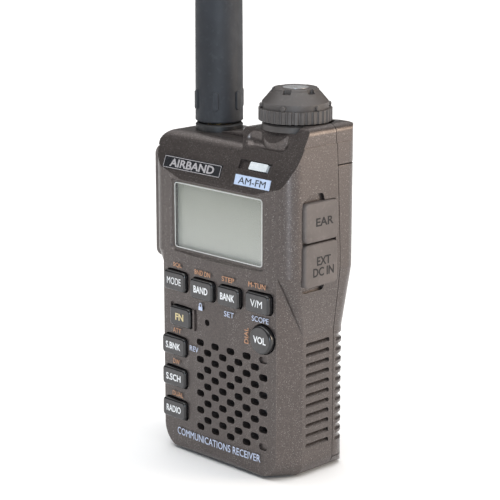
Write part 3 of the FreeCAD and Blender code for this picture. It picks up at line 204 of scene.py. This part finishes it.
def moulded(name, colour, roughness, grain, depth, spread=0.15, wear=0.35, coat=0.0, specular=0.5):
    """Moulded plastic or rubber with a fine grain, drifting tone, dust and rubbed rims."""
    skin = Recipe(name, specular=specular, coat=coat)
    tone = skin.mottled(colour, spread, 9 * MM)
    dusty = tuple(min(1.0, c * 1.5 + 0.02) for c in colour)
    tone = skin.mix(skin.ramp(skin.noise(1.1 * MM, 5.0), 0.55, 0.8, 0.0, 0.5), tone, dusty)
    worn = tuple(min(1.0, c * 2.0 + 0.035) for c in colour)
    tone = skin.mix(skin.edges(0.25 * MM, wear), tone, worn)
    gloss = skin.ramp(skin.noise(2.2 * MM, 4.0), 0.3, 0.7, roughness - 0.07, roughness + 0.07)
    return skin.finish(tone, gloss, [(skin.noise(grain, 3.0), depth),
                                     (skin.noise(grain * 9, 2.0), depth * 2)])


def metal(name, colour, roughness, stretch=(1, 1, 1)):
    """Metal with drawn-out brushing, faint stains and brighter rims."""
    sheet = Recipe(name, metallic=1.0)
    tone = sheet.mottled(colour, 0.12, 5 * MM, stretch)
    stain = tuple(c * 0.6 for c in colour)
    tone = sheet.mix(sheet.ramp(sheet.noise(3 * MM, 5.0), 0.6, 0.8, 0.0, 0.6), tone, stain)
    tone = sheet.mix(sheet.edges(0.15 * MM, 0.5), tone, tuple(min(1.0, c * 1.25) for c in colour))
    brushed = sheet.noise(0.12 * MM, 2.0, stretch)
    gloss = sheet.ramp(brushed, 0.3, 0.7, roughness - 0.08, roughness + 0.1)
    return sheet.finish(tone, gloss, [(brushed, 0.004 * MM)])


def key_cap():
    """Glossy black flanks and a satin grey top, told apart by which way the surface faces."""
    cap = Recipe("key_finish", coat=0.35)
    facing = cap.node("ShaderNodeSeparateXYZ")
    cap.feed(facing.inputs[0], cap.place.outputs["Normal"])
    top = cap.ramp(facing.outputs["Y"], -0.955, -0.985)
    black = cap.mottled((0.008, 0.008, 0.009), 0.3, 2 * MM)
    grey = cap.mottled((0.045, 0.042, 0.043), 0.18, 1.4 * MM)
    tone = cap.mix(top, black, grey)
    tone = cap.mix(cap.edges(0.2 * MM, 0.25), tone, (0.11, 0.11, 0.115))
    satin = cap.ramp(cap.noise(0.9 * MM, 4.0), 0.3, 0.7, 0.34, 0.46)
    glossy = cap.ramp(cap.noise(0.9 * MM, 4.0), 0.3, 0.7, 0.14, 0.24)
    rough = cap.combine("ADD", cap.combine("MULTIPLY", satin, top),
                    cap.combine("MULTIPLY", glossy, cap.ramp(top, 0.0, 1.0, 1.0, 0.0)))
    return cap.finish(tone, rough, [(cap.noise(0.2 * MM, 2.0), 0.006 * MM)])


def clear_sheet():
    """Clear window, very slightly wavy, with fingerprints in its gloss."""
    glass = Recipe("window_finish", specular=0.5, alpha=0.07)
    tone = glass.mottled((0.62, 0.66, 0.63), 0.08, 6 * MM)
    smudge = glass.ramp(glass.noise(4 * MM, 5.0), 0.45, 0.75, 0.04, 0.20)
    return glass.finish(tone, smudge, [(glass.noise(9 * MM, 1.0, (0.3, 1, 1)), 0.01 * MM)])


def display_sheet():
    """Grey-green display with a fine cell grid; painted reflection: paler below, darker at the top."""
    low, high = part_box("lcd_panel")
    sheet = Recipe("display_finish", specular=0.4)
    where = sheet.node("ShaderNodeSeparateXYZ")
    sheet.feed(where.inputs[0], sheet.place.outputs["Object"])
    # Painted reflection: the display's colour runs from paler at the bottom to darker towards the top.
    up = sheet.ramp(where.outputs["Z"], low.z + 3 * MM, high.z - 2 * MM)
    tone = sheet.mix(up, (0.47, 0.47, 0.43), (0.27, 0.275, 0.225))
    tone = sheet.mix(sheet.ramp(sheet.noise(7 * MM, 3.0), 0.3, 0.7, 0.0, 0.25), tone, (0.38, 0.39, 0.34))
    cells = sheet.node("ShaderNodeTexBrick", offset=0.0)
    for socket, value in (("Scale", 1.0), ("Mortar Size", 0.02 * MM), ("Brick Width", 0.34 * MM),
                          ("Row Height", 0.34 * MM), ("Mortar Smooth", 0.5)):
        cells.inputs[socket].default_value = value
    flat = sheet.node("ShaderNodeCombineXYZ")
    sheet.feed(flat.inputs["X"], where.outputs["X"])
    sheet.feed(flat.inputs["Y"], where.outputs["Z"])
    sheet.feed(cells.inputs["Vector"], flat.outputs[0])
    tone = sheet.mix(sheet.combine("MULTIPLY", cells.outputs["Fac"], 0.12), tone, (0.16, 0.17, 0.14))
    gloss = sheet.ramp(sheet.noise(1 * MM), 0.3, 0.7, 0.30, 0.42)
    return sheet.finish(tone, gloss, [(sheet.noise(5 * MM, 1.0), 0.01 * MM)])


def circuit_board():
    """Solder mask with darker copper-pour patches and a fibre weave."""
    board = Recipe("board_finish", coat=0.3)
    pour = board.node("ShaderNodeTexVoronoi", distance="MANHATTAN")
    pour.inputs["Scale"].default_value = 1 / (2.4 * MM)
    board.feed(pour.inputs["Vector"], board.place.outputs["Object"])
    copper = board.ramp(pour.outputs["Distance"], 0.35, 0.4)
    tone = board.mix(copper, (0.012, 0.085, 0.045), (0.03, 0.15, 0.08))
    gloss = board.ramp(board.noise(1.5 * MM), 0.3, 0.7, 0.28, 0.42)
    return board.finish(tone, gloss, [(board.noise(0.5 * MM, 2.0, (1, 1, 0.2)), 0.01 * MM)])


def ink(name, colour, roughness=0.5):
    """Screen-printed ink: slightly uneven, thinner in spots."""
    film = Recipe(name, specular=0.4)
    tone = film.mottled(colour, 0.07, 0.8 * MM)
    thin = tuple(c * 0.7 for c in colour)
    tone = film.mix(film.ramp(film.noise(0.25 * MM, 3.0), 0.62, 0.8, 0.0, 0.5), tone, thin)
    gloss = film.ramp(film.noise(0.6 * MM), 0.3, 0.7, roughness - 0.06, roughness + 0.08)
    return film.finish(tone, gloss, [(film.noise(0.15 * MM), 0.004 * MM)])


FINISHES = {
    "case_paint": painted_case(),
    "soft_rubber": moulded("rubber_finish", (0.120, 0.104, 0.098), 0.66, 0.22 * MM, 0.015 * MM,
                           specular=0.4),
    "antenna_rubber": moulded("antenna_finish", (0.018, 0.021, 0.027), 0.58, 0.25 * MM, 0.012 * MM,
                              0.2, 0.2, specular=0.45),
    "key_plastic": key_cap(),
    "dial_plastic": moulded("dial_finish", (0.068, 0.060, 0.057), 0.5, 0.2 * MM, 0.010 * MM, 0.14, 0.45),
    "badge_metal": metal("badge_finish", (0.86, 0.86, 0.87), 0.34, (1, 0.1, 1)),
    "clear_window": clear_sheet(),
    "display_glass": display_sheet(),
    "light_guide": moulded("light_guide_finish", (0.80, 0.82, 0.80), 0.3, 0.3 * MM, 0.006 * MM, 0.05, 0.1),
    "black_plastic": moulded("black_plastic_finish", (0.016, 0.016, 0.017), 0.46, 0.2 * MM, 0.010 * MM),
    "steel": metal("steel_finish", (0.58, 0.58, 0.60), 0.32, (1, 1, 0.12)),
    "brass": metal("brass_finish", (0.66, 0.49, 0.22), 0.28, (1, 1, 6)),
    "board": circuit_board(),
    "plate_ink": moulded("plate_finish", (0.012, 0.013, 0.016), 0.30, 0.2 * MM, 0.003 * MM, 0.3, 0.3,
                         coat=0.4),
    "label_ink": ink("label_finish", (0.50, 0.60, 0.78), 0.42),
    "paper_cone": moulded("cone_finish", (0.022, 0.022, 0.024), 0.82, 0.35 * MM, 0.03 * MM, 0.25, 0.0),
    "battery_wrap": moulded("battery_finish", (0.045, 0.050, 0.070), 0.42, 0.4 * MM, 0.008 * MM, 0.1, 0.25),
}
WHITE_INK = ink("white_ink_finish", (0.86, 0.87, 0.88))
SILVER_INK = ink("silver_ink_finish", (0.40, 0.38, 0.39), 0.35)
ORANGE_INK = ink("orange_ink_finish", (0.56, 0.29, 0.16))
BLUE_INK = ink("pale_blue_ink_finish", (0.56, 0.63, 0.80))
YELLOW_INK = ink("yellow_ink_finish", (0.74, 0.62, 0.34))
DARK_INK = ink("dark_ink_finish", (0.014, 0.013, 0.014), 0.6)
LAMP_LENS = moulded("lamp_lens_finish", (0.66, 0.70, 0.72), 0.16, 0.6 * MM, 0.004 * MM, 0.12, 0.3, coat=0.8)
# Pale glossy colour for the painted highlight along the display window's edge.
PAINTED_WINDOW_HIGHLIGHT = moulded("painted_window_highlight_finish", (0.62, 0.62, 0.60), 0.22, 0.3 * MM, 0.002 * MM, 0.06, 0.2,
                     coat=0.5)

for part in frame["record"]["subparts"]:
    node = frame["nodes"][part["node"]]
    if not node.material_slots:
        node.data.materials.append(None)
    for place in node.material_slots:
        place.material = FINISHES[part["material_slot"]]
for place in frame["nodes"]["lamp_lens"].material_slots:
    place.material = LAMP_LENS


# ---------------------------------------------------------------- lettering, other print and a painted highlight

def on_face(x, z):
    """A flat drawing laid on the bowed front, centred at x, z."""
    return lambda u, v, lift: Vector((x + u, face_y(x + u) - lift, z + v))


def on_face_upward(x, z):
    """The same, read from the bottom up."""
    return lambda u, v, lift: Vector((x - v, face_y(x - v) - lift, z + u))


def on_leaning_plate(node):
    """A drawing on the front of a thin plate that lies back against the brow."""
    low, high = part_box(node)
    middle = (low + high) / 2
    points = [vertex.co for vertex in frame["nodes"][node].data.vertices]
    bottom = min(points, key=lambda p: p.y)
    top = max(points, key=lambda p: p.z)
    slope = (top.y - bottom.y) / (top.z - bottom.z)
    return lambda u, v, lift: Vector((middle.x + u, bottom.y + (middle.z + v - bottom.z) * slope - lift,
                                      middle.z + v))


def on_sheet(node):
    """A drawing on a flat front-facing part, centred on it."""
    low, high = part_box(node)
    middle = (low + high) / 2
    return lambda u, v, lift: Vector((middle.x + u, low.y - lift, middle.z + v))


def on_right_side(node, y, z):
    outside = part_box(node)[1].x
    return lambda u, v, lift: Vector((outside + lift, y + u, z + v))


def on_left_side(node):
    low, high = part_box(node)
    middle = (low + high) / 2
    return lambda u, v, lift: Vector((low.x - lift, middle.y - u, middle.z + v))


def lay(name, mesh, surface, body, finish):
    """Carries a flat drawing (its z is the film's height) onto a surface and makes it a piece."""
    for vertex in mesh.vertices:
        u, v, height = vertex.co
        vertex.co = surface(u, v, PRINT_LIFT + height)
    mesh.materials.clear()
    mesh.materials.append(finish)
    mesh.update()
    piece = bpy.data.objects.new(name, mesh)
    bpy.context.scene.collection.objects.link(piece)
    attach(piece, body)
    return piece


def word_mesh(words, width, height, weight):
    """Solid letters that fill a box of this width and height, centred on the origin."""
    curve = bpy.data.curves.new("letters", "FONT")
    curve.body = words
    curve.align_x = "CENTER"
    curve.space_line = 0.9
    curve.offset = weight
    curve.extrude = 0.5
    curve.resolution_u = 3
    letters = bpy.data.objects.new("letters", curve)
    bpy.context.scene.collection.objects.link(letters)
    mesh = bpy.data.meshes.new_from_object(letters)
    bpy.data.objects.remove(letters)
    low = Vector(min(v.co[i] for v in mesh.vertices) for i in range(3))
    high = Vector(max(v.co[i] for v in mesh.vertices) for i in range(3))
    size = high - low
    for vertex in mesh.vertices:
        from_middle = vertex.co - (low + high) / 2
        vertex.co = (from_middle.x * width / size.x, from_middle.y * height / size.y,
                     (from_middle.z / size.z + 0.5) * PRINT_THICKNESS)
    return mesh


def lettering(name, words, size, surface, body, finish, weight=0.0):
    return lay(name, word_mesh(words, size[0] * MM, size[1] * MM, weight), surface, body, finish)


def outline_mesh(width, height, corner, line, steps=6):
    """A thin rounded frame; width and height are its outer size."""
    mesh = bpy.data.meshes.new("outline")
    work = bmesh.new()
    rings = []
    for inset in (0.0, line):
        for level in (0.0, PRINT_THICKNESS):
            ring = []
            for quarter in range(4):
                side_x = (1, -1, -1, 1)[quarter]
                side_y = (1, 1, -1, -1)[quarter]
                for step in range(steps + 1):
                    turn = math.pi / 2 * (quarter + step / steps)
                    reach = max(corner - inset, 0.02 * MM)
                    across = side_x * (width / 2 - corner) + reach * math.cos(turn)
                    up = side_y * (height / 2 - corner) + reach * math.sin(turn)
                    ring.append(work.verts.new((across, up, level)))
            rings.append(ring)
    outer_low, outer_high, inner_low, inner_high = rings
    count = len(outer_low)
    for i in range(count):
        j = (i + 1) % count
        for first, second in ((outer_low, outer_high), (outer_high, inner_high), (inner_high, inner_low),
                              (inner_low, outer_low)):
            work.faces.new((first[i], first[j], second[j], second[i]))
    work.to_mesh(mesh)
    work.free()
    return mesh


# Words, their width in millimetres and their ink.
KEY_LEGENDS = {
    "mode_key": ("MODE", 4.7, WHITE_INK), "band_key": ("BAND", 4.6, WHITE_INK),
    "bank_key": ("BANK", 4.6, WHITE_INK), "memory_key": ("V/M", 3.7, WHITE_INK),
    "function_key": ("FN", 2.7, YELLOW_INK), "bank_search_key": ("S.BNK", 5.0, WHITE_INK),
    "search_key": ("S.SCH", 5.0, WHITE_INK), "radio_key": ("RADIO", 4.9, WHITE_INK),
    "volume_key": ("VOL", 3.9, WHITE_INK),
}
for key, (words, wide, finish) in KEY_LEGENDS.items():
    weight = 0.0 if "M" in words else BOLD
    lettering(key + "_legend", words, (wide, LEGEND_HEIGHT), on_sheet(key), key, finish, weight)

# A pale grey outline just inside the display window's edge: a painted highlight on that edge.
window_low, window_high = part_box("lcd_window")
highlight_outline_width = window_high.x - window_low.x - 0.1 * MM
highlight_outline_height = window_high.z - window_low.z - 0.1 * MM
lay("window_edge_painted_highlight", outline_mesh(highlight_outline_width, highlight_outline_height, 0.8 * MM, 0.22 * MM), on_sheet("lcd_window"), "case",
    PAINTED_WINDOW_HIGHLIGHT)

# Small print on the face: name, words, width, height, x, z and ink.
FACE_PRINT = [
    ("squelch_print", "SQL", 3.1, 1.15, -12.9, 45.4, ORANGE_INK),
    ("band_down_print", "BND DN", 5.2, 1.15, -4.1, 45.1, ORANGE_INK),
    ("step_print", "STEP", 3.9, 1.15, 4.3, 45.2, ORANGE_INK),
    ("tune_print", "M-TUN", 5.0, 1.15, 13.1, 45.4, ORANGE_INK),
    ("attenuator_print", "ATT", 2.9, 1.15, -13.3, 29.55, ORANGE_INK),
    ("watch_print", "DW", 2.4, 1.15, -13.6, 21.85, ORANGE_INK),
    ("dual_print", "DUAL", 3.9, 1.15, -13.2, 13.9, ORANGE_INK),
    ("set_print", "SET", 3.1, 1.25, 4.6, 37.1, BLUE_INK),
    ("scope_print", "SCOPE", 4.9, 1.25, 14.1, 37.75, BLUE_INK),
    ("reverse_print", "REV", 3.0, 1.25, -7.15, 26.4, BLUE_INK),
    ("bottom_print", "COMMUNICATIONS RECEIVER", 27.6, 1.75, 0.4, 4.95, BLUE_INK),
]
for name, words, wide, tall, x, z, finish in FACE_PRINT:
    lettering(name, words, (wide, tall), on_face(x * MM, z * MM), "case", finish)
lettering("dial_print", "DIAL", (3.7, 1.2), on_face_upward(10.0 * MM, 33.3 * MM), "case", ORANGE_INK)

lettering("plate_lettering", "AIRBAND", (14.6, 1.75), on_leaning_plate("name_plate"), "case", SILVER_INK,
          BOLDER)
plate_outline = outline_mesh(18.7 * MM, 2.55 * MM, 0.25 * MM, 0.13 * MM)
lay("plate_border", plate_outline, on_leaning_plate("name_plate"), "case", SILVER_INK)
lettering("label_lettering", "AM-FM", (8.4, 1.4), on_leaning_plate("range_label"), "case", DARK_INK)

lettering("ear_print", "EAR", (5.6, 1.9), on_right_side("ear_cover", -0.45 * MM, 60.1 * MM), "ear_cover",
          DARK_INK, BOLD)
lettering("supply_print", "EXT\nDC IN", (6.7, 4.5), on_right_side("supply_cover", -0.7 * MM, 50.0 * MM),
          "supply_cover", DARK_INK, BOLD)
lettering("monitor_print", "MONI", (3.3, 1.1), on_left_side("monitor_key"), "monitor_key", WHITE_INK)


def padlock_mesh():
    """A little padlock: a block with a ring above it."""
    mesh = outline_mesh(1.0 * MM, 1.5 * MM, 0.48 * MM, 0.22 * MM)
    for vertex in mesh.vertices:
        vertex.co.y += 0.25 * MM
    work = bmesh.new()
    work.from_mesh(mesh)
    block = bmesh.ops.create_cube(work, size=1.0)["verts"]
    for vertex in block:
        vertex.co = (vertex.co.x * 1.3 * MM, vertex.co.y * 0.85 * MM - 0.35 * MM,
                     (vertex.co.z + 0.5) * PRINT_THICKNESS * 1.2)
    work.to_mesh(mesh)
    work.free()
    return mesh


lay("padlock_print", padlock_mesh(), on_face(-4.8 * MM, 37.0 * MM), "case", BLUE_INK)


def power_symbol():
    """An open ring with a bar through its gap, for the power key."""
    mesh = bpy.data.meshes.new("power_symbol")
    work = bmesh.new()
    steps, radius, line = SYMBOL_STEPS, 0.95 * MM, 0.24 * MM
    gap = math.radians(35)
    rings = []
    for step in range(steps + 1):
        turn = math.pi / 2 + gap + (2 * math.pi - 2 * gap) * step / steps
        corners = ((-line / 2, 0), (line / 2, 0), (line / 2, PRINT_THICKNESS), (-line / 2, PRINT_THICKNESS))
        ring = []
        for side, level in corners:
            reach = radius + side
            ring.append(work.verts.new((reach * math.cos(turn), reach * math.sin(turn), level)))
        rings.append(ring)
    for first, second in zip(rings, rings[1:]):
        for i in range(4):
            work.faces.new((first[i], first[(i + 1) % 4], second[(i + 1) % 4], second[i]))
    for end in (rings[0], rings[-1]):
        work.faces.new(end)
    for vertex in bmesh.ops.create_cube(work, size=1.0)["verts"]:
        vertex.co = (vertex.co.x * line, vertex.co.y * 1.1 * MM + 0.75 * MM,
                     (vertex.co.z + 0.5) * PRINT_THICKNESS)
    work.to_mesh(mesh)
    work.free()
    return mesh


lay("power_print", power_symbol(), on_left_side("power_key"), "power_key", WHITE_INK)


# ---------------------------------------------------------------- floor, light and camera

def make_floor():
    bpy.ops.mesh.primitive_circle_add(vertices=64, radius=6.0, fill_type="NGON", location=(0, 0, 0))
    floor = bpy.context.object
    floor.name = "studio_floor"
    paper = Recipe("floor_finish", specular=0.2)
    tone = paper.mottled((0.90, 0.90, 0.90), 0.01, 0.5)
    floor.data.materials.append(paper.finish(tone, 0.7, [(paper.noise(1 * MM), 0.01 * MM)]))


def softbox(name, position, aim, size, power, colour=(1, 1, 1)):
    data = bpy.data.lights.new(name, "AREA")
    data.shape = "RECTANGLE"
    data.size, data.size_y = size
    data.energy = power
    data.color = colour
    lamp = bpy.data.objects.new(name, data)
    lamp.location = position
    lamp.rotation_mode = "QUATERNION"
    lamp.rotation_quaternion = (Vector(aim) - Vector(position)).to_track_quat("-Z", "Y")
    bpy.context.scene.collection.objects.link(lamp)


def make_world():
    """Soft surrounding light: a bright ceiling over dimmer walls."""
    world = bpy.data.worlds.new("studio")
    world.use_nodes = True
    bpy.context.scene.world = world
    tree = world.node_tree
    where = tree.nodes.new("ShaderNodeTexCoord")
    split = tree.nodes.new("ShaderNodeSeparateXYZ")
    level = tree.nodes.new("ShaderNodeMapRange")
    level.interpolation_type = "SMOOTHSTEP"
    level.inputs["From Min"].default_value = WALL_TOP
    level.inputs["From Max"].default_value = CEILING_START
    level.inputs["To Min"].default_value = WALL_STRENGTH
    level.inputs["To Max"].default_value = CEILING_STRENGTH
    tree.nodes["Background"].inputs["Color"].default_value = (1, 1, 1, 1)
    tree.links.new(where.outputs["Generated"], split.inputs[0])
    tree.links.new(split.outputs["Z"], level.inputs["Value"])
    tree.links.new(level.outputs["Result"], tree.nodes["Background"].inputs["Strength"])


def make_camera():
    data = bpy.data.cameras.new("camera")
    data.lens = CAMERA_LENS
    data.sensor_width = CAMERA_SENSOR
    data.clip_start, data.clip_end = 0.01, 50
    camera = bpy.data.objects.new("camera", data)
    camera.location = CAMERA_PLACE
    camera.rotation_mode = "QUATERNION"
    camera.rotation_quaternion = (CAMERA_AIM - CAMERA_PLACE).to_track_quat("-Z", "Y")
    bpy.context.scene.collection.objects.link(camera)
    bpy.context.scene.camera = camera


make_floor()
make_world()
softbox("cool_front_light", (0.60, -0.64, 0.14), (0, 0, 0.07), (0.16, 0.24), 2.4, (0.72, 0.86, 1.0))
softbox("warm_side_light", (0.70, 0.50, 0.26), (0, 0, 0.05), (0.40, 0.40), 4.2, (1.0, 0.84, 0.68))
make_camera()
bpy.context.scene.view_settings.view_transform = "Standard"
